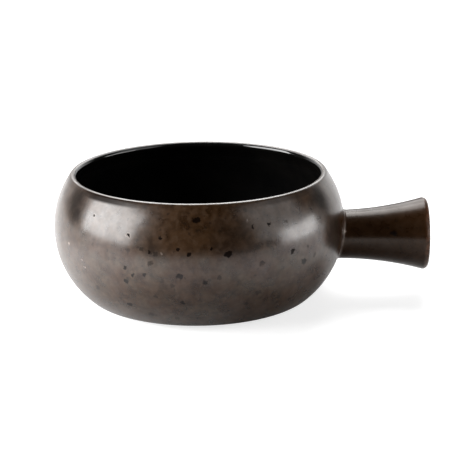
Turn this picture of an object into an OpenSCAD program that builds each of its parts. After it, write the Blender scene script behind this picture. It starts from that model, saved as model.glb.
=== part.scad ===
// Stoneware soup bowl with one flared stick handle.
// A round-bellied clay bowl and a hollow clay handle are luted together with slip, then
// coated: a dark metallic glaze outside, a gloss black glaze inside, and a bare foot ring.
// Millimetres, +Z up. The origin is the centre of the foot ring, on the table, and the
// handle points along +X.

/* [Bowl] */
// Outside diameter at the widest part of the belly
belly_d = 140; // [110:0.5:190]
// Height of that widest part above the table
belly_z = 36; // [32:0.5:40]
// Distance of the mouth's edge inside the widest part of the belly
mouth_in = 11.5; // [7:0.1:16]
// Height of the lip above the table
bowl_h = 62.2; // [55:0.1:70]
// Distance of the flat underside's edge inside the widest part of the belly
base_in = 21.2; // [16:0.1:26]
// Rounding of the heel, where the side turns under
heel_r = 9.5; // [4:0.5:11]
// Thickness of the wall at the belly, with both glazes; it thins towards the lip
wall = 4; // [3:0.1:6]
// Rounding of the lip
lip_r = 1.8; // [1.2:0.1:2.2]
// How far the round lip swells out on both sides of the wall
lip_swell = 0.1; // [0.05:0.01:0.15]
// Thickness of the floor above the flat underside, with its inside glaze
floor_t = 5.6; // [4:0.1:9]
// Rounding between the inside of the wall and the floor
inside_heel_r = 17; // [8:0.5:22]

/* [Foot ring] */
// Distance of the bare foot ring from the edge of the flat underside
foot_inset = 3.8; // [2:0.1:8]
// Width of the foot ring
foot_w = 5.6; // [3:0.1:10]
// Gap between the table and the flat underside
foot_gap = 1; // [0.6:0.1:3]
// Height of the hollow inside the foot ring, above the table
recess_h = 2.5; // [1.8:0.1:3.4]
// Bevel on both lower edges of the foot ring
foot_bevel = 0.5; // [0.2:0.1:0.6]

/* [Handle] */
// Length of the handle beyond the widest part of the belly
handle_len = 40.3; // [28:0.1:60]
// Distance of the handle's axis below the widest part of the belly
handle_drop = 6.4; // [0:0.1:9]
// Diameter of the handle at its neck
neck_d = 23.5; // [18:0.1:28]
// Distance of the neck, where the flare starts, inside the widest part of the belly
neck_in = 4; // [1:0.1:6]
// Radius of the hollow curve along the flare
flare_r = 157; // [120:1:240]
// Rounding of the edge at the handle's end
end_round = 2.4; // [1.2:0.1:4]
// Wall of the hollow handle, with its glaze
handle_wall = 4.2; // [3:0.1:6]
// Thickness of the handle's end, with its glaze
handle_end_t = 5; // [4:0.1:8]
// Rounding at the end of the hollow
hollow_round = 3; // [1:0.1:4]

/* [Glaze and slip] */
// Thickness of each glaze coat, and of the slip under the handle
glaze_t = 0.5; // [0.3:0.05:0.7]
// Width and height of the slip bead round the handle's root
bead = 1.8; // [1:0.1:2.5]

/* [Hidden] */
$fn = 180;

CLAY = [0.62, 0.54, 0.45];
SLIP = [0.30, 0.25, 0.21];
BRONZE = [0.25, 0.21, 0.18];
BLACK = [0.03, 0.03, 0.03];

// Radius of an arc that stands upright at (r0, z0) and touches a circle of radius e about c
// from inside the bowl, or that holds the circle within it where e is below zero
function touching_arc(r0, z0, c, e) =
    let (k = r0 - c.x, m = c.y - z0) (k^2 + m^2 - e^2) / (2 * (k + e));

belly_r = belly_d / 2;
mouth_r = belly_r - mouth_in;
base_r = belly_r - base_in;
edge_r = lip_r - lip_swell;
lip_c = [mouth_r + edge_r, bowl_h - lip_r];
upper_r = touching_arc(belly_r, belly_z, lip_c, -edge_r);
inner_r = touching_arc(belly_r - wall, belly_z, lip_c, edge_r);
lower_r = touching_arc(belly_r, belly_z, [base_r, foot_gap + heel_r], -heel_r);
upper_c = [belly_r - upper_r, belly_z];
inner_c = [belly_r - wall - inner_r, belly_z];
lower_c = [belly_r - lower_r, belly_z];
floor_z = foot_gap + floor_t;
foot_r = base_r - foot_inset;
handle_z = belly_z - handle_drop;
handle_reach = belly_r + handle_len;
neck_x = belly_r - neck_in;
neck_r = neck_d / 2;
flare_c = [neck_r + flare_r, neck_x];
// The handle's forms start this deep inside the belly, so that the bowl can trim them
root_depth = 15;
root_x = belly_r - root_depth;
// The slip's form starts this deep below the bowl's surface
slip_depth = 3;
// Angle by which joined outlines overlap
lap_angle = 12;

// Centre of a heel rounding h on the plane at height z, inside the side at depth d
function heel_centre(d, h, z) =
    [lower_c.x + sqrt((lower_r - d - h)^2 - (belly_z - z - h)^2), z + h];

// Angle from one point to another
function heading(a, b) = atan2(b.y - a.y, b.x - a.x);

// Slice of a disc between two angles
module sector(centre, r, from, to) {
    far = 2 * r;
    translate(centre) intersection() {
        circle(r);
        polygon([[0, 0], for (a = [from, (from + to) / 2, to]) far * [cos(a), sin(a)]]);
    }
}

// Half-section of a solid bowl: the upper side is an arc of radius r about c, drawn up to the
// angle top, and the lower side lies d below the outside, with a heel rounding h on the plane
// at height z
module bowl_form(c, r, top, d, h, z) {
    heel_c = heel_centre(d, h, z);
    down = heading(lower_c, heel_c);
    intersection() {
        translate([0, z]) square([belly_r + wall, bowl_h]);
        union() {
            sector(c, r, 0, top);
            sector(lower_c, lower_r - d, down, 0);
            sector(heel_c, h, -90 - lap_angle, down + lap_angle);
            polygon([[0, z], [heel_c.x, z], heel_c + [h / 2, 0], [belly_r - 2 * wall, belly_z],
                     [0, belly_z]]);
        }
    }
}

// The bowl's outside and inside as such forms, at depth d below the glaze
module outside_form(d) {
    bowl_form(upper_c, upper_r - d, heading(upper_c, lip_c), d, heel_r - d, foot_gap + d);
}
module inside_form(d) {
    bowl_form(inner_c, inner_r + d, heading(inner_c, lip_c) + lap_angle,
              wall - d, inside_heel_r + d, floor_z - d);
}

// Section of the bowl's wall and floor at depth d below every glazed face, with a round lip
module wall_section(d) {
    difference() {
        outside_form(d);
        inside_form(d);
    }
    translate(lip_c) circle(lip_r - d);
}

// Section of the glaze all round the clay
module glaze_section() {
    difference() {
        wall_section(0);
        wall_section(glaze_t);
    }
}

// The bowl's outside as a solid, at a depth below its glaze, with its seam opposite the
// handle
module outside_solid(d) {
    rotate([0, 0, 180]) rotate_extrude() outside_form(d);
}

// Section of the foot ring, with its lower edges bevelled
module foot_section() {
    inner = foot_r - foot_w;
    top = foot_gap + 2 * glaze_t;
    polygon([[inner, top], [inner, foot_bevel], [inner + foot_bevel, 0],
             [foot_r - foot_bevel, 0], [foot_r, foot_bevel], [foot_r, top]]);
}

// Section of the handle at depth d below its outside: a hollow flare that ends at
// distance a, with its end's edge rounded by e
module handle_section(d, a, e) {
    reach = flare_r + d + e;
    corner = [flare_c.x - sqrt(reach^2 - (a - e - neck_x)^2), a - e];
    difference() {
        polygon([[0, root_x], [flare_c.x, root_x], flare_c, corner, [corner.x, a], [0, a]]);
        translate(flare_c) circle(flare_r + d, $fn = 4 * $fn);
    }
    sector(corner, e, heading(corner, flare_c) - lap_angle, 90 + lap_angle);
}

// Turns a section about the handle's axis
module handle_turned() {
    translate([0, 0, handle_z]) rotate([0, 90, 0]) rotate_extrude() children();
}

// The handle's solid form at a depth below its outside, trimmed to the bowl's side
module handle_form(d) {
    difference() {
        handle_turned() handle_section(d, handle_reach - d, end_round - d);
        outside_solid(0);
    }
}

// Solid form of the slip: a cone about the bowl's normal at the handle's root. It is as
// wide as the bead where it meets the bowl, and closes in until it is inside the handle.
module slip_form() {
    rim = neck_r + bead;
    root_r = lower_c.x + sqrt(lower_r^2 - handle_drop^2);
    sag = rim^2 / 4 * (1 / lower_r + 1 / root_r);
    translate([root_r, 0, handle_z]) rotate([0, 90 + asin(handle_drop / lower_r), 0]) rotate(90)
        translate([0, 0, -sag - slip_depth])
            cylinder(r1 = rim + slip_depth, r2 = neck_r - bead, h = slip_depth + 2 * bead);
}

// Clay bowl with its bare foot ring
module bowl_body() {
    color(CLAY) rotate_extrude() {
        difference() {
            wall_section(glaze_t);
            square([foot_r - foot_w, recess_h]);
        }
        foot_section();
    }
}

// Hollow clay handle, cut to the bowl's side
module handle_body() {
    color(CLAY) difference() {
        handle_form(glaze_t);
        handle_turned() handle_section(handle_wall, handle_reach - handle_end_t, hollow_round);
    }
}

// Slip between the handle and the bowl, squeezed out into a bead round the root
module slip_joint() {
    color(SLIP) difference() {
        slip_form();
        outside_solid(glaze_t);
        handle_form(0);
    }
}

// Dark metallic glaze, from the crest of the lip to the foot ring
module outside_glaze() {
    color(BRONZE) difference() {
        rotate_extrude() difference() {
            glaze_section();
            inside_form(edge_r);
            square([foot_r, foot_gap + 2 * glaze_t]);
        }
        slip_form();
    }
}

// The same glaze over the handle
module handle_glaze() {
    color(BRONZE) difference() {
        handle_form(0);
        handle_turned() handle_section(glaze_t, handle_reach - glaze_t, end_round - glaze_t);
    }
}

// Gloss black glaze, from the crest of the lip over the whole inside
module inside_glaze() {
    color(BLACK) rotate_extrude() intersection() {
        glaze_section();
        inside_form(edge_r);
    }
}

// Glaze in the hollow of the foot ring
module underside_glaze() {
    color(BRONZE) translate([0, 0, recess_h - glaze_t])
        cylinder(r = foot_r - foot_w, h = glaze_t);
}

bowl_body();
handle_body();
slip_joint();
outside_glaze();
handle_glaze();
inside_glaze();
underside_glaze();
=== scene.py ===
"""Looks of the soup bowl: smooth glaze coats over the clay, procedural glazes, a plain studio
and the camera."""
import math

import bpy
import numpy as np
from mathutils import Matrix, Vector


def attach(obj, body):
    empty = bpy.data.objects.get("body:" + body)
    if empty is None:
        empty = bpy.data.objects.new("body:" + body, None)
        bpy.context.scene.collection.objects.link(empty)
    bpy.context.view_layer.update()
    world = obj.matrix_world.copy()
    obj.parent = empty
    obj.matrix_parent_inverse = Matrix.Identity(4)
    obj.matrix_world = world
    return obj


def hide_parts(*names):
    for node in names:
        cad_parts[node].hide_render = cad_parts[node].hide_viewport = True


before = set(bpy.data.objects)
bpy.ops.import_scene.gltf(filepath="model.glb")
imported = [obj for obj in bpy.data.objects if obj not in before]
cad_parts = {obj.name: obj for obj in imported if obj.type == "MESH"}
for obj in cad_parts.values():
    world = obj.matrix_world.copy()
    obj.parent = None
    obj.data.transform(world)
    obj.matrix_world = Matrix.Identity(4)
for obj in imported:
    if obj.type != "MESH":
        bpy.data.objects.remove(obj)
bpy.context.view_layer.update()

# Sizes of the bowl and handle, in metres
MM = 0.001
BELLY_R = 70 * MM
BELLY_Z = 36 * MM
BOWL_H = 62.2 * MM
MOUTH_R = 58.5 * MM
BASE_R = 48.8 * MM
HEEL_R = 9.5 * MM
WALL = 4 * MM
LIP_R = 1.8 * MM
LIP_SWELL = 0.1 * MM
SWELL_REACH = 2 * MM
FLOOR_Z = 6.6 * MM
WELL_R = 17 * MM
FOOT_R = 45 * MM
FOOT_GAP = 1 * MM
HANDLE_Z = 29.6 * MM
HANDLE_END = 110.3 * MM
NECK_R = 11.75 * MM
NECK_X = 66 * MM
FLARE_R = 157 * MM
END_ROUND = 2.4 * MM
GLAZE = 0.5 * MM

# Fillet at the handle's root: its reach, how far its toe stands off the bowl's side, and how far
# the coat goes on beyond the toe and into the side
FILLET = 1.7 * MM
TOE_LIFT = 0.06 * MM
TOE_SPREAD = 0.15 * MM
TOE_SINK = 0.3 * MM

# Waves of the thrown wall: turns round the bowl, angle per metre of height, phase and size
WAVES = ((3, 90, 0.7, 1.0), (5, -160, 2.1, 0.6), (2, 260, 0.0, 0.5))
WAVE_DEPTH = 0.05 * MM
WAVE_FADE = 12 * MM

# Counts of points round and along the coats
BOWL_AROUND = 320
OUTSIDE_ROWS = 44
INSIDE_ROWS = 40
LIP_ROWS = 14
UNDER_ROWS = 4
WELL_ROWS = 12
HANDLE_AROUND = 192
HANDLE_ROWS = 70
EDGE_ROWS = 16
CAP_ROWS = 10
FILLET_ROWS = 14
# Steps that find where the handle meets the bowl
ROOT_STEPS = 4
# The last ring before a pole: its radius on the bowl's floor, and its share of the handle's end
POLE_RING = 1 * MM
CAP_RING = 0.03

# Point attribute of the handle's coat: how strongly its fillet gets a painted highlight
COLLAR = "collar"

# Marks on the bowl's side: angle from the camera's side towards the handle in degrees, height
# and radius in mm
SPECKS = (
    (0, 56, 1.5), (11.5, 41, 1.6), (-3, 41.5, 1.1), (-7, 43.5, 0.8), (-6.5, 31, 1.4),
    (3, 28, 0.9), (38, 38, 1.3), (44, 31.5, 1.6), (-28, 26.5, 1.0), (-28, 33, 0.9),
    (-29.5, 13.5, 1.4), (-6, 17.5, 1.0), (-25, 30, 0.8), (-20, 31, 0.8), (22, 52, 0.8),
    (29, 52, 0.8), (-14, 48, 1.0), (-18, 41.5, 1.0), (5.5, 43.5, 0.9),
)
FAINT_SPECKS = (
    (-17.5, 36.5, 1.2), (-44, 19, 1.3), (-21, 9, 1.6), (-9.5, 7.5, 1.2), (-0.5, 8, 1.0),
    (-16.5, 20, 1.1), (-9.5, 26, 1.2), (24.5, 35, 1.3), (50, 33, 1.1), (46, 38.5, 0.8),
    (8, 30.5, 1.2), (24, 20.5, 1.3), (19.5, 15, 1.1), (-21, 43, 1.1), (-15.5, 41, 1.2),
    (37, 51.5, 0.9),
)
PALE_SPECKS = ((-59, 37, 0.7), (-50, 32, 0.7), (-49, 28.5, 0.6))
# Pits: a hollow in the bump, dark and without gloss, with a pale ring round the rim as a painted
# highlight
PITS = ((-27, 48, 1.0), (-45, 53.5, 0.8))
# Dark patches by the lip's two ends: a painted reflection of dark surroundings
PAINTED_DARK_REFLECTIONS = ((-60, 57, 13), (-57, 52, 9), (61, 56, 11))
BROWN_CLOUDS = ((13, 46, 13), (9, 53, 7), (-17, 43, 7))
# Painted shade on the bowl's side next to the handle's root, where the glaze mirrors the dark handle
ROOT_PAINTED_SHADE = ((67, 37, 12),)
# How much larger the specks are drawn than their radius
SPECK_SIZE = 1.25
# Marks on the handle: place, and the distances at which they start and stop fading
HANDLE_SPECK = ((93 * MM, -13.5 * MM, 33.5 * MM), 1.1 * MM, 1.7 * MM)
# The collar's glint is a painted highlight, drawn pale with the pale specks
COLLAR_GLINT = ((70 * MM, -11.5 * MM, 34.5 * MM), 0.5 * MM, 1.2 * MM)

# Random specks: cells per metre, share of the cells that have one, and greatest radius in cells
SMALL_SPECKS = (190, 0.42, 0.32)
TINY_SPECKS = (430, 0.40, 0.38)
STRAY_PALE = (260, 0.05, 0.16)
# Moves the random specks, so that the smooth bright patch on the left has few of them
SPECK_SHIFT = (0.031, 0.0, 0.0)
# Noise that gives all marks ragged edges: its scale, and how far it moves a place
RAGGED_SCALE = 700
RAGGED = 3 * MM

# Colours of the bronze glaze: the two browns of its clouds, its grain, and what is pale
DARK_BROWN = (0.018, 0.0074, 0.0016)
LIGHT_BROWN = (0.034, 0.0160, 0.0060)
GRAIN_BROWN = (0.060, 0.037, 0.023)
PALE = (0.34, 0.27, 0.23)
# Layers of colour over the browns and the grain, the lowest first: mask, share and colour
LAYERS = (
    # The handle's darker glaze, which is also painted shade on the bowl's side by the root
    ("handle", 0.65, (0.020, 0.0078, 0.0026)),
    ("rust", 0.6, (0.10, 0.038, 0.018)),
    # Painted highlight along the handle's collar
    ("collar", 0.45, (0.12, 0.085, 0.07)),
    # Dark brown clouds, together with painted shade and painted dark reflections
    ("clouds_and_shade", 0.9, (0.006, 0.0035, 0.0025)),
    # Lip's top edge: paler where the glaze breaks thin, and a painted highlight brightest at the
    # front
    ("crest", 0.8, (0.19, 0.18, 0.17)),
    ("fine", 0.7, (0.007, 0.003, 0.001)),
    ("large", 0.95, (0.003, 0.0015, 0.001)),
    ("pale", 0.6, PALE),
    # Painted highlight round the pits' rims
    ("pit_rim_highlight", 0.2, PALE),
    ("pit", 1.0, (0.004, 0.003, 0.003)),
)
# How much of its gloss the glaze loses under each mask
DULLING = (("fine", 0.12), ("pit", 1.0), ("clouds_and_shade", 0.75), ("end_ring", 0.8), ("shade_under_lip", 0.92))
# Colours of what the bronze glaze mirrors: in two kinds of patches, higher up and on the handle
MAUVE = (1.0, 0.90, 0.92)
OLIVE = (1.0, 0.96, 0.92)
NEAR_WHITE = (1.0, 0.98, 0.97)
WARM = (1.0, 0.86, 0.75)
WHITE = (1, 1, 1, 1)

# The floor's edges at the left, right, front and back, its colour, and its glow to the camera
FLOOR_EDGES = (-1.6, 1.6, -0.45, 1.8)
FLOOR_GREY = (0.42, 0.42, 0.42, 1)
FLOOR_GLOW = 0.72
# Painted shade on the floor as the glaze mirrors it, darkest by and under the bowl: centre, inner
# and outer distance in metres, and the level at each
FLOOR_PAINTED_SHADES = (
    ((0, 0, 0), 0.055, 0.155, 0.14, 0.88),
    ((0.05, 0.01, 0), 0.03, 0.08, 0.1, 1.0),
    ((0.034, -0.047, 0), 0.012, 0.034, 0.0, 1.0),
)
# A painted pool of light where the floor glows by the bowl's left side, in the same order
FLOOR_LIGHT_POOL = ((-0.18, -0.11, 0), 0.05, 0.19, 1.8, 0.0)

# Lamps: name, azimuth and elevation in degrees, distance, width and height in metres, and power
LAMPS = (
    ("left_softbox", -76.5, 21, 1.1, 0.98, 0.76, 30),
    ("right_card", 84, 4.5, 0.9, 0.60, 0.20, 3.4),
    ("right_edge", 142, 4, 1.2, 0.60, 0.40, 0.3),
    ("right_fill", 68, 26, 1.1, 0.90, 0.80, 3.6),
    ("back_softbox", 180, 60, 1.2, 0.90, 0.58, 13),
    ("back_fill", 180, 36, 1.2, 0.90, 0.74, 7.5),
)
# Level of the dim room, and what the backdrop adds to it
ROOM = 0.02
BACKDROP = 0.98

# The camera: sensor and lens in mm, angles in degrees, the point it looks at and its distance
SENSOR = 36
LENS = 135.6
VIEW_ELEVATION = 16.33
VIEW_ROLL = -0.68
VIEW_TARGET = (14.81 * MM, 0, 32.2 * MM)
VIEW_DISTANCE = 840 * MM


def touching_arc(start, x, z, radius):
    """Radius of an arc that stands upright at the belly and touches a circle, or that holds the
    circle within it where the circle's radius is given as negative."""
    inset, rise = start - x, z - BELLY_Z
    return (inset**2 + rise**2 - radius**2) / (2 * (inset + radius))


# Radii and centres of the arcs along the bowl's side, and the angles at which they reach the lip
EDGE_R = LIP_R - LIP_SWELL
LIP_X = MOUTH_R + EDGE_R
LIP_Z = BOWL_H - LIP_R
UPPER_R = touching_arc(BELLY_R, LIP_X, LIP_Z, -EDGE_R)
INNER_R = touching_arc(BELLY_R - WALL, LIP_X, LIP_Z, EDGE_R)
LOWER_R = touching_arc(BELLY_R, BASE_R, FOOT_GAP + HEEL_R, -HEEL_R)
UPPER_X = BELLY_R - UPPER_R
INNER_X = BELLY_R - WALL - INNER_R
LOWER_X = BELLY_R - LOWER_R
OUTER_ANGLE = math.atan2(LIP_Z - BELLY_Z, LIP_X - UPPER_X)
INNER_ANGLE = math.atan2(LIP_Z - BELLY_Z, LIP_X - INNER_X)

# Centre of the rounding at the handle's end, along and off its axis, and the angle where it starts
END_X = HANDLE_END - END_ROUND
END_R = NECK_R + FLARE_R - math.sqrt((FLARE_R + END_ROUND) ** 2 - (END_X - NECK_X) ** 2)
END_LEAN = math.atan2(NECK_X - END_X, NECK_R + FLARE_R - END_R)


def new_object(name, data):
    """An object in the scene that shows a mesh, a lamp or a camera."""
    made = bpy.data.objects.new(name, data)
    bpy.context.scene.collection.objects.link(made)
    return made


def arc(x, z, radius, start, end, count):
    """Points (r, z) on a circle about (x, z), from one angle to another."""
    a = np.linspace(start, end, count)
    return np.stack([x + radius * np.cos(a), z + radius * np.sin(a)], axis=1)


def flat(start, end, z, count):
    """Points along a level line."""
    return np.stack([np.linspace(start, end, count), np.full(count, z)], axis=1)


def side_profile(upper, depth, heel, plane, rows):
    """The bowl's side from an upper arc (points) down: the lower arc at a depth, then a heel
    rounding that ends on a level plane."""
    heel_x = LOWER_X + math.sqrt((LOWER_R - depth - heel) ** 2 - (BELLY_Z - plane - heel) ** 2)
    turn = math.atan2(plane + heel - BELLY_Z, heel_x - LOWER_X)
    lower = arc(LOWER_X, BELLY_Z, LOWER_R - depth, 0, turn, rows)[1:]
    under = arc(heel_x, plane + heel, heel, turn, -math.pi / 2, rows // 2)[1:]
    return np.concatenate([upper, lower, under])


def swollen(profile, outward):
    """A side profile that swells by LIP_SWELL towards the lip, as a bell curve of the path's
    length."""
    step = np.gradient(profile, axis=0)
    step /= np.linalg.norm(step, axis=1, keepdims=True)
    length = np.concatenate([[0], np.cumsum(np.linalg.norm(np.diff(profile, axis=0), axis=1))])
    swell = LIP_SWELL * np.exp(-((length / SWELL_REACH) ** 2))
    normal = np.stack([-step[:, 1], step[:, 0]], axis=1) * outward
    return profile + normal * swell[:, None]


def lip_profile(depth, end):
    """The round lip at a depth, from where the two glazes meet on its top to the angle where a
    side begins."""
    return arc(LIP_X, LIP_Z, LIP_R - depth, INNER_ANGLE + math.pi / 2, end, LIP_ROWS)


def outside_line(depth):
    """The outside of the bowl at a depth below its glaze, from the lip's top to the foot ring."""
    upper = arc(UPPER_X, BELLY_Z, UPPER_R - depth, OUTER_ANGLE, 0, OUTSIDE_ROWS)
    plane = FOOT_GAP + depth
    side = side_profile(upper, depth, HEEL_R - depth, plane, OUTSIDE_ROWS)
    return np.concatenate([
        lip_profile(depth, OUTER_ANGLE),
        swollen(side, 1)[1:],
        flat(BASE_R, FOOT_R, plane, UNDER_ROWS)[1:],
    ])


def inside_line(depth):
    """The inside of the bowl at a depth below its glaze, from the lip's top to the middle of the
    floor."""
    upper = arc(INNER_X, BELLY_Z, INNER_R + depth, INNER_ANGLE, 0, INSIDE_ROWS)
    plane = FLOOR_Z - depth
    side = side_profile(upper, WALL - depth, WELL_R + depth, plane, INSIDE_ROWS)
    return np.concatenate([
        lip_profile(depth, INNER_ANGLE + math.pi),
        swollen(side, -1)[1:],
        flat(side[-1, 0], POLE_RING, plane, WELL_ROWS)[1:],
    ])


def turned(profile):
    """Rings of points: a profile of (r, z) turned about the bowl's axis."""
    a = np.linspace(0, 2 * math.pi, BOWL_AROUND, endpoint=False)
    r, z = profile[:, :1], profile[:, 1:]
    return np.stack([r * np.cos(a), r * np.sin(a), np.repeat(z, BOWL_AROUND, axis=1)], axis=2)


def hand_made(rings):
    """Rings pushed inwards by a sum of slow sine waves round and up the bowl, as a thrown wall is
    never quite true. The push fades out towards the lip and the foot."""
    x, y, z = rings[..., 0], rings[..., 1], rings[..., 2]
    a = np.arctan2(y, x)
    wave = sum(size * np.sin(turns * a + rate * z + phase) for turns, rate, phase, size in WAVES)
    highest = sum(size for _, _, _, size in WAVES)
    fade = np.clip((z - FOOT_GAP) / WAVE_FADE, 0, 1) * np.clip((BOWL_H - z) / WAVE_FADE, 0, 1)
    scale = 1 - WAVE_DEPTH * (1 + wave / highest) * fade / BELLY_R
    return np.stack([x * scale, y * scale, z], axis=2)


def skin(name, rings, poles=None):
    """A closed smooth mesh over rings of points: joined end to end, or closed by a pole at each
    end."""
    count, around = rings.shape[:2]
    here = np.arange(around)
    after = np.roll(here, -1)
    rows = np.arange(count if poles is None else count - 1)
    low = (rows * around)[:, None]
    high = ((rows + 1) % count * around)[:, None]
    quads = np.stack([low + here, low + after, high + after, high + here], axis=2).reshape(-1, 4)
    points = rings.reshape(-1, 3)
    faces = quads.tolist()
    if poles is not None:
        points = np.concatenate([points, np.asarray(poles)])
        first, last = len(points) - 2, len(points) - 1
        end = (count - 1) * around
        faces += np.stack([np.full(around, first), after, here], axis=1).tolist()
        faces += np.stack([np.full(around, last), end + here, end + after], axis=1).tolist()
    mesh = bpy.data.meshes.new(name)
    mesh.from_pydata(points.tolist(), [], faces)
    mesh.polygons.foreach_set("use_smooth", np.ones(len(faces), dtype=bool))
    mesh.update()
    return new_object(name, mesh)


def outside_coat():
    """The bowl's outer glaze: lip, side and heel down to the foot ring, then back up against the
    clay."""
    outer = hand_made(turned(outside_line(0)))
    inner = turned(outside_line(GLAZE))
    return skin("outside_coat", np.concatenate([inner, outer[::-1]]))


def inside_coat():
    """The bowl's inner glaze: from the middle of the floor up the inside to the lip's top, then
    back along the clay."""
    inner = turned(inside_line(0))
    outer = turned(inside_line(GLAZE))
    poles = [(0, 0, FLOOR_Z), (0, 0, FLOOR_Z - GLAZE)]
    return skin("inside_coat", np.concatenate([inner[::-1], outer]), poles)


def side_x(rho, turn):
    """Where the bowl's side lies above the points at distance rho and angle turn about the
    handle's axis."""
    y = rho * np.cos(turn)
    z = HANDLE_Z + rho * np.sin(turn) - BELLY_Z
    upper = UPPER_X + np.sqrt(UPPER_R**2 - z**2)
    lower = LOWER_X + np.sqrt(LOWER_R**2 - z**2)
    return np.sqrt(np.where(z > 0, upper, lower) ** 2 - y**2)


def flare(x, depth=0.0):
    """Radius of the handle at x: a hollow arc that is narrowest at the neck."""
    return NECK_R + FLARE_R - np.sqrt((FLARE_R + depth) ** 2 - (x - NECK_X) ** 2)


def handle_root(depth, turn):
    """Where the flare at a depth meets the bowl's side, found by stepping from one to the other."""
    root = side_x(NECK_R - depth, turn)
    for _ in range(ROOT_STEPS):
        root = side_x(flare(root, depth), turn)
    return root


def handle_rings(depth, start):
    """Rings along the handle at a depth below its glaze, as x and radius: along the flare from a
    start at each angle, round the end's edge as an arc, then flat across the end."""
    edge = END_ROUND - depth
    along = np.linspace(0, 1, HANDLE_ROWS)[:, None]
    x = start + (END_X + edge * math.sin(END_LEAN) - start) * along
    a = np.linspace(END_LEAN, math.pi / 2, EDGE_ROWS)[1:, None]
    cap_r = END_R * np.linspace(1, CAP_RING, CAP_ROWS)[1:, None]
    end_x = np.concatenate([END_X + edge * np.sin(a), np.full_like(cap_r, END_X + edge)])
    end_r = np.concatenate([END_R + edge * np.cos(a), cap_r])
    all_x = np.concatenate([x, np.repeat(end_x, HANDLE_AROUND, axis=1)])
    all_r = np.concatenate([flare(x, depth), np.repeat(end_r, HANDLE_AROUND, axis=1)])
    return all_x, all_r


def curve(u, a, b, c):
    """A quadratic curve from a to c that leans towards b."""
    return (1 - u) ** 2 * a + 2 * u * (1 - u) * b + u**2 * c


def paint_collar_highlight(piece, rings, first, u):
    """Marks the fillet's rows of the handle for a painted highlight, by the fourth power of a sine
    that is highest a little nearer the bowl than the middle. The two poles come last and get none."""
    highlight_share = np.zeros(rings.shape[:2])
    highlight_share[first:first + len(u)] = np.sin(math.pi * u**0.8) ** 4
    layer = piece.data.attributes.new(COLLAR, "FLOAT", "POINT")
    layer.data.foreach_set("value", np.append(highlight_share.ravel(), [0.0, 0.0]))


def handle_coat():
    """The handle's glaze: its inside against the clay, a hollow fillet that starts on the bowl's
    side all round the saddle-shaped root, then the flare and the rounded end."""
    turn = np.linspace(0, 2 * math.pi, HANDLE_AROUND, endpoint=False)[None, :]
    root = handle_root(0.0, turn)
    outer_x, outer_r = handle_rings(0.0, root + FILLET)
    inner_x, inner_r = handle_rings(GLAZE, handle_root(GLAZE, turn))
    corner_r = flare(root)
    toe_r = corner_r + FILLET
    toe_x = side_x(toe_r, turn) + TOE_LIFT
    sunk_r = toe_r + TOE_SPREAD
    sunk_x = side_x(sunk_r, turn) - TOE_SINK
    u = np.linspace(0, 1, FILLET_ROWS)[:-1, None]
    fillet_x = curve(u, toe_x, root, outer_x[0])
    fillet_r = curve(u, toe_r, corner_r, outer_r[0])
    x = np.concatenate([inner_x[::-1], sunk_x, fillet_x, outer_x])
    r = np.concatenate([inner_r[::-1], sunk_r, fillet_r, outer_r])
    rings = np.stack([x, r * np.cos(turn), HANDLE_Z + r * np.sin(turn)], axis=2)
    poles = [(HANDLE_END - GLAZE, 0, HANDLE_Z), (HANDLE_END, 0, HANDLE_Z)]
    piece = skin("handle_coat", rings, poles)
    paint_collar_highlight(piece, rings, len(inner_x) + len(sunk_x), u)
    return piece


class Nodes:
    """Adds and links the nodes of one shader tree."""

    def __init__(self, tree):
        self.tree = tree

    def feed(self, node, inputs):
        """Sets a node's sockets to values, or links outputs of other nodes to them."""
        for key, value in inputs.items():
            if isinstance(value, bpy.types.NodeSocket):
                self.tree.links.new(value, node.inputs[key])
            else:
                node.inputs[key].default_value = value

    def add(self, kind, inputs=None, **settings):
        """The outputs of a new node: settings are its properties, and inputs feed its sockets."""
        node = self.tree.nodes.new(kind)
        for key, value in settings.items():
            setattr(node, key, value)
        self.feed(node, inputs or {})
        return node.outputs

    def math(self, operation, a, b=0.0):
        """One math step."""
        return self.add("ShaderNodeMath", {0: a, 1: b}, operation=operation)[0]

    def times(self, first, *others):
        """The product of some values."""
        for value in others:
            first = self.math("MULTIPLY", first, value)
        return first

    def most(self, first, *others):
        """The largest of some values."""
        for value in others:
            first = self.math("MAXIMUM", first, value)
        return first

    def vector(self, operation, a, b, c=(0, 0, 0)):
        """One step of vector arithmetic: a vector, or a number for a distance."""
        outputs = self.add("ShaderNodeVectorMath", {0: a, 1: b, 2: c}, operation=operation)
        return outputs["Value" if operation == "DISTANCE" else "Vector"]

    def axes(self, vector):
        """The X, Y and Z of a vector."""
        return self.add("ShaderNodeSeparateXYZ", {"Vector": vector})

    def band(self, value, low, high, start=0.0, end=1.0):
        """A smooth step of value between low and high, mapped to start and end."""
        inputs = {"Value": value, "From Min": low, "From Max": high, "To Min": start, "To Max": end}
        return self.add("ShaderNodeMapRange", inputs, interpolation_type="SMOOTHSTEP")[0]

    def near(self, place, point, inner, outer, start=1.0, end=0.0):
        """A soft spot about a point: start up to the inner distance, end from the outer one on."""
        return self.band(self.vector("DISTANCE", place, point), inner, outer, start, end)

    def mix(self, factor, a, b):
        """A blend of two colours, each an output or three numbers."""
        inputs = {"Factor": factor}
        for index, value in ((6, a), (7, b)):
            inputs[index] = (*value, 1) if isinstance(value, tuple) else value
        return self.add("ShaderNodeMix", inputs, data_type="RGBA")[2]

    def noise(self, place, scale, detail=3.0, rough=0.5, twist=0.0):
        """Fractal noise, 0 to 1."""
        inputs = {"Vector": place, "Scale": scale, "Detail": detail, "Roughness": rough}
        return self.add("ShaderNodeTexNoise", {**inputs, "Distortion": twist})[0]

    def bump(self, height, strength, distance):
        """A surface direction that follows a height."""
        inputs = {"Strength": strength, "Distance": distance, "Height": height}
        return self.add("ShaderNodeBump", inputs)[0]


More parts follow.
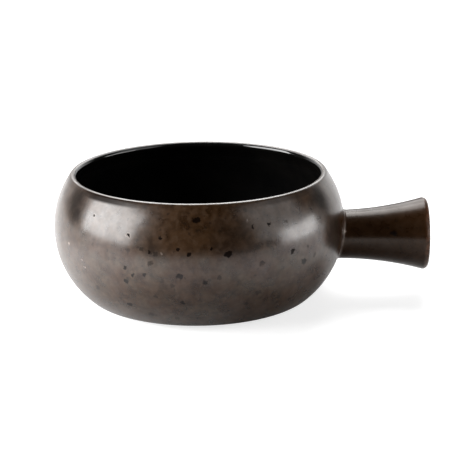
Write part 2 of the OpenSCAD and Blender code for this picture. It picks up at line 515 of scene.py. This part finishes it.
def material(name):
    """A new material: its nodes, its surface shader and its object coordinates."""
    made = bpy.data.materials.new(name)
    made.use_nodes = True
    nodes = Nodes(made.node_tree)
    shader = made.node_tree.nodes["Principled BSDF"]
    place = nodes.add("ShaderNodeTexCoord")["Object"]
    return made, nodes, shader, place


def ragged(nodes, place):
    """Places moved about by fine noise, so that marks get ragged edges."""
    noise = nodes.add("ShaderNodeTexNoise", {"Vector": place, "Scale": RAGGED_SCALE, "Detail": 2.0})
    shift = nodes.vector("SUBTRACT", noise["Color"], (0.5, 0.5, 0.5))
    return nodes.vector("MULTIPLY_ADD", shift, (RAGGED, RAGGED, RAGGED), place)


def random_specks(nodes, place, pattern):
    """Spots in a share of random cells, each with its own size."""
    scale, share, size = pattern
    moved = nodes.vector("ADD", place, SPECK_SHIFT)
    cells = nodes.add("ShaderNodeTexVoronoi", {"Vector": moved, "Scale": scale})
    pick = nodes.add("ShaderNodeSeparateColor", {"Color": cells["Color"]})[0]
    radius = nodes.band(pick, 1 - share, 1.0, 0.0, size)
    inner = nodes.times(radius, 0.4)
    outer = nodes.math("ADD", radius, 0.001)
    return nodes.band(cells["Distance"], inner, outer, 1.0, 0.0)


def on_side(angle, height):
    """The point of the bowl's side at an angle from the camera's side towards the handle, and at
    a height in mm."""
    a, z = math.radians(angle), height * MM - BELLY_Z
    centre, radius = (UPPER_X, UPPER_R) if z > 0 else (LOWER_X, LOWER_R)
    r = centre + math.sqrt(radius**2 - z**2)
    return r * math.sin(a), -r * math.cos(a), height * MM


def marks(nodes, place, spots, size=1.0, core=0.65):
    """Spots at chosen places on the bowl's side, full within a core share of their radius."""
    made = []
    for angle, height, radius in spots:
        reach = radius * size * MM
        made.append(nodes.near(place, on_side(angle, height), core * reach, reach))
    return nodes.most(*made)


def speck_masks(nodes, bent):
    """Masks of the dark specks, fine and large, of the pale ones, and of the pits."""
    small = random_specks(nodes, bent, SMALL_SPECKS)
    tiny = random_specks(nodes, bent, TINY_SPECKS)
    strays = nodes.times(random_specks(nodes, bent, STRAY_PALE), 0.45)
    strong = marks(nodes, bent, SPECKS, SPECK_SIZE)
    faint = nodes.times(marks(nodes, bent, FAINT_SPECKS, SPECK_SIZE), 0.6)
    return {
        "fine": nodes.most(small, tiny),
        "large": nodes.most(strong, faint, nodes.near(bent, *HANDLE_SPECK)),
        # The pale mask holds real pale specks and the collar's painted glint
        "pale": nodes.most(strays, marks(nodes, bent, PALE_SPECKS), nodes.near(bent, *COLLAR_GLINT)),
        "pit": marks(nodes, bent, PITS),
        "pit_rim_highlight": marks(nodes, bent, PITS, 1.6),
        "pit_hollow": marks(nodes, bent, PITS, 1.5, 0.2),
    }


def handle_masks(nodes, place, grain):
    """Masks of the handle, which reaches onto the bowl's side by the root and darkens it there as
    painted shade, of its collar's painted highlight, of the ring at its end, and of rusty grain
    there.
    """
    along = nodes.axes(place)["X"]
    off_axis = nodes.vector("DISTANCE", nodes.vector("MULTIPLY", place, (0, 1, 1)), (0, 0, HANDLE_Z))
    end_ring = nodes.times(
        nodes.band(along, HANDLE_END - 3.2 * MM, HANDLE_END - 1 * MM),
        nodes.band(off_axis, 13.5 * MM, 16 * MM),
    )
    return {
        # From 58 mm on, the handle's darker colour also falls on the bowl's side as painted shade by
        # the root
        "handle": nodes.band(along, 58 * MM, 68 * MM),
        "collar": nodes.add("ShaderNodeAttribute", attribute_name=COLLAR)["Fac"],
        "end_ring": end_ring,
        "rust": nodes.times(end_ring, nodes.band(grain, 0.35, 0.6)),
    }


def lip_masks(nodes, place):
    """Masks of the lip's pale top edge, partly glaze breaking thin and partly a painted highlight,
    weaker at the two ends of the mouth, and of painted shade under it: a dark band which is missing
    in the middle, weaker at both ends and half as strong on the right."""
    axes = nodes.axes(place)
    aside = nodes.math("ABSOLUTE", axes["X"])
    crest = nodes.times(
        nodes.band(axes["Z"], LIP_Z + 1.5 * MM, LIP_Z + 1.72 * MM),
        nodes.band(aside, 25 * MM, 52 * MM, 1.0, 0.2),
    )
    shade_under_lip = nodes.times(
        nodes.band(axes["Z"], LIP_Z - 1.55 * MM, LIP_Z - 0.25 * MM),
        nodes.band(axes["Z"], LIP_Z + 1.4 * MM, LIP_Z + 1.7 * MM, 1.0, 0.0),
        nodes.band(aside, 8 * MM, 42 * MM),
        nodes.band(aside, 46 * MM, 58 * MM, 1.0, 0.3),
        nodes.band(axes["X"], -20 * MM, 20 * MM, 1.0, 0.5),
    )
    return {"crest": crest, "shade_under_lip": shade_under_lip}


def bronze_masks(nodes, place, grain):
    """All masks of the bronze glaze by name. One mask gathers what is dark and soft: the brown
    clouds, and painted shade under the lip, by the handle's root and where the glaze mirrors dark
    surroundings.
    """
    bent = ragged(nodes, place)
    masks = {
        **speck_masks(nodes, bent),
        **handle_masks(nodes, place, grain),
        **lip_masks(nodes, place),
    }
    masks["clouds_and_shade"] = nodes.most(
        marks(nodes, bent, PAINTED_DARK_REFLECTIONS, core=0.1),
        nodes.times(marks(nodes, bent, BROWN_CLOUDS, core=0.1), 0.4),
        nodes.times(marks(nodes, bent, ROOT_PAINTED_SHADE, core=0.5), 0.7),
        masks["shade_under_lip"],
    )
    return masks


def bronze_colour(nodes, cloud, grain, masks):
    """Two browns in clouds, a paler grain, then a layer of colour for each mask."""
    base = nodes.mix(nodes.band(cloud, 0.36, 0.64), DARK_BROWN, LIGHT_BROWN)
    base = nodes.mix(nodes.band(grain, 0.45, 0.7, 0.0, 0.4), base, GRAIN_BROWN)
    for name, share, colour in LAYERS:
        base = nodes.mix(nodes.times(masks[name], share), base, colour)
    return base


def bronze_dullness(nodes, place, masks):
    """How dull the marks make the glaze. Large specks are duller on the upper half of the bowl."""
    upper = nodes.band(nodes.axes(place)["Z"], 30 * MM, 40 * MM, 0.45, 0.9)
    dulled = [nodes.times(masks[name], amount) for name, amount in DULLING]
    return nodes.most(nodes.times(masks["large"], upper), *dulled)


def bronze_tint(nodes, place, handle):
    """The colour of what the glaze mirrors: mauve and olive patches low down, nearly white higher
    up, and warm on the handle."""
    blotch = nodes.band(nodes.noise(place, 75, 3, 0.6), 0.40, 0.60)
    tint = nodes.mix(blotch, MAUVE, OLIVE)
    tint = nodes.mix(nodes.band(nodes.axes(place)["Z"], 38 * MM, 48 * MM), tint, NEAR_WHITE)
    return nodes.mix(handle, tint, WARM)


def bronze_glaze():
    """Satin brown glaze: mottled, with dark iron specks of many sizes, a few pale ones, two pits,
    soft dark clouds, painted shade under the lip and by the handle's root, a paler lip and collar
    that are partly painted highlight, and a duller handle."""
    made, nodes, shader, place = material("bronze_glaze")
    cloud = nodes.noise(place, 210, 3, 0.5, 0.3)
    grain = nodes.noise(place, 420, 4, 0.65)
    masks = bronze_masks(nodes, place, grain)
    dull = bronze_dullness(nodes, place, masks)
    dulled_handle = nodes.math("SUBTRACT", masks["handle"], nodes.times(masks["collar"], 0.7))
    gloss = nodes.math("SUBTRACT", 1.0, nodes.most(nodes.times(dulled_handle, 0.55), dull))
    sheen = nodes.band(nodes.noise(place, 150, 4, 0.6), 0.36, 0.64, 0.29, 0.42)
    height = nodes.math("ADD", nodes.noise(place, 140, 3, 0.5), nodes.times(grain, 0.12))
    height = nodes.math("SUBTRACT", height, nodes.times(masks["pit_hollow"], 1.5))
    mottled = nodes.band(cloud, 0.3, 0.7, 0.27, 0.30)
    nodes.feed(shader, {
        "Base Color": bronze_colour(nodes, cloud, grain, masks),
        "Roughness": nodes.math("ADD", mottled, nodes.times(dull, 0.1)),
        "IOR": 1.5,
        "Specular IOR Level": nodes.times(sheen, gloss),
        "Specular Tint": bronze_tint(nodes, place, masks["handle"]),
        "Coat Weight": nodes.times(gloss, 0.35),
        "Coat Roughness": 0.18,
        "Normal": nodes.bump(height, 0.03, 0.6 * MM),
    })
    return made


def black_glaze():
    """Black glaze with barely lighter clouds: gloss at the lip, duller down in the well."""
    made, nodes, shader, place = material("black_glaze")
    cloud = nodes.noise(place, 60, 4, 0.6)
    gloss = nodes.band(nodes.axes(place)["Z"], 50 * MM, 59 * MM)
    clouded = nodes.band(cloud, 0.3, 0.7)
    ripple = nodes.band(cloud, 0.3, 0.7, 0.0, 0.04)
    rough = nodes.band(gloss, 0.0, 1.0, 0.40, 0.09)
    nodes.feed(shader, {
        "Base Color": nodes.mix(clouded, (0.0015, 0.0015, 0.0015), (0.003, 0.0027, 0.0024)),
        "Roughness": nodes.math("ADD", ripple, rough),
        "Specular IOR Level": nodes.band(gloss, 0.0, 1.0, 0.04, 0.5),
    })
    return made


def clay():
    """Bare fired stoneware: warm buff with fine darker grog, matte and a little rough."""
    made, nodes, shader, place = material("clay")
    cloud = nodes.noise(place, 180, 5, 0.6)
    grog = nodes.noise(place, 1400, 2, 0.5)
    base = nodes.mix(nodes.band(cloud, 0.3, 0.7), (0.30, 0.22, 0.15), (0.38, 0.29, 0.20))
    base = nodes.mix(nodes.band(grog, 0.6, 0.75, 0.0, 0.6), base, (0.12, 0.08, 0.055))
    bump = nodes.bump(grog, 0.25, 0.2 * MM)
    nodes.feed(shader, {"Base Color": base, "Roughness": 0.85, "Normal": bump})
    return made


def dress(piece, finish):
    """Gives a piece its material."""
    piece.data.materials.clear()
    piece.data.materials.append(finish)


def build_bowl():
    """The glaze coats over the clay, and materials for every piece."""
    bronze, black, bare = bronze_glaze(), black_glaze(), clay()
    outside, inside, handle = outside_coat(), inside_coat(), handle_coat()
    for piece, finish, slot, nodes in (
        (outside, bronze, "bronze_glaze", ["outside_glaze"]),
        (inside, black, "black_glaze", ["inside_glaze"]),
        (handle, bronze, "bronze_glaze", ["handle_glaze", "slip_joint"]),
    ):
        dress(piece, finish)
        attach(piece, "root")
        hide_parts(*nodes)
    for node, finish, slot in (
        ("bowl_body", bare, "stoneware"),
        ("handle_body", bare, "stoneware"),
        ("underside_glaze", bronze, "bronze_glaze"),
    ):
        dress(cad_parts[node], finish)


def floor_material():
    """Pale matte floor that looks white to the camera and glows in a painted pool of light by the
    bowl's left side. What the glaze mirrors of the rest carries painted shade near the bowl, and is
    darker straight behind it."""
    made, nodes, shader, place = material("floor")
    rays = nodes.add("ShaderNodeLightPath")
    axes = nodes.axes(place)
    aside = nodes.band(nodes.math("ABSOLUTE", axes["X"]), 0.10, 0.25)
    nearer = nodes.band(axes["Y"], 0.22, 0.40, 1.0, 0.3)
    shades = [nodes.near(place, *shade) for shade in FLOOR_PAINTED_SHADES]
    mirrored = nodes.times(rays["Is Glossy Ray"], nodes.most(aside, nearer), *shades)
    white = nodes.math("ADD", nodes.times(rays["Is Camera Ray"], FLOOR_GLOW), mirrored)
    nodes.feed(shader, {
        "Base Color": FLOOR_GREY,
        "Roughness": 0.9,
        "Emission Color": WHITE,
        "Emission Strength": nodes.math("ADD", white, nodes.near(place, *FLOOR_LIGHT_POOL)),
    })
    return made


def floor():
    """A level floor under the bowl that keeps its shadow."""
    left, right, front, back = FLOOR_EDGES
    corners = [(left, front, 0), (right, front, 0), (right, back, 0), (left, back, 0)]
    mesh = bpy.data.meshes.new("floor")
    mesh.from_pydata(corners, [], [(0, 1, 2, 3)])
    mesh.materials.append(floor_material())
    new_object("floor", mesh)


def aimed(azimuth, elevation, distance):
    """A place at a distance from the bowl, and the way to it: azimuth 0 is the camera's side and
    90 the handle's, in degrees."""
    a, e = math.radians(azimuth), math.radians(elevation)
    away = Vector((math.sin(a) * math.cos(e), -math.cos(a) * math.cos(e), math.sin(e)))
    return Vector((0, 0, BELLY_Z)) + distance * away, away


def softbox(name, azimuth, elevation, distance, width, height, power):
    """A soft rectangular lamp that faces the bowl."""
    lamp = bpy.data.lights.new(name, "AREA")
    lamp.shape = "RECTANGLE"
    lamp.size, lamp.size_y = width, height
    lamp.energy = power
    piece = new_object(name, lamp)
    piece.location, away = aimed(azimuth, elevation, distance)
    piece.rotation_mode = "QUATERNION"
    piece.rotation_quaternion = away.to_track_quat("Z", "Y")
    piece.visible_camera = False


def surroundings():
    """A backdrop behind the bowl, weaker in the middle, that fades to a dim room overhead and on
    the camera's side. To the camera all of it is white."""
    world = bpy.data.worlds.new("studio")
    bpy.context.scene.world = world
    world.use_nodes = True
    nodes = Nodes(world.node_tree)
    way = nodes.axes(nodes.add("ShaderNodeTexCoord")["Generated"])
    behind = nodes.band(way["Y"], 0.45, 0.8)
    low = nodes.band(way["Z"], 0.75, 0.93, 1.0, 0.0)
    aside = nodes.band(nodes.math("ABSOLUTE", way["X"]), 0.08, 0.25, 0.3, 1.0)
    level = nodes.math("ADD", nodes.times(behind, low, aside, BACKDROP), ROOM)
    seen = nodes.add("ShaderNodeLightPath")["Is Camera Ray"]
    sky = world.node_tree.nodes["Background"]
    nodes.feed(sky, {"Color": WHITE, "Strength": nodes.most(level, seen)})


def studio():
    """Floor, surroundings and lamps."""
    floor()
    surroundings()
    for lamp in LAMPS:
        softbox(*lamp)


def camera():
    """The photograph's view: a long lens a little above the lip, rolled by under a degree."""
    lens = bpy.data.cameras.new("camera")
    lens.sensor_width = SENSOR
    lens.lens = LENS
    eye = new_object("camera", lens)
    elevation, roll = math.radians(VIEW_ELEVATION), math.radians(VIEW_ROLL)
    back = Vector((0, -math.cos(elevation), math.sin(elevation)))
    right = Vector((1, 0, 0))
    up = back.cross(right)
    turn = Matrix((
        math.cos(roll) * right + math.sin(roll) * up,
        math.cos(roll) * up - math.sin(roll) * right,
        back,
    )).transposed()
    place = Vector(VIEW_TARGET) + VIEW_DISTANCE * back
    eye.matrix_world = Matrix.Translation(place) @ turn.to_4x4()
    bpy.context.scene.camera = eye


build_bowl()
studio()
camera()
bpy.context.scene.view_settings.view_transform = "Standard"
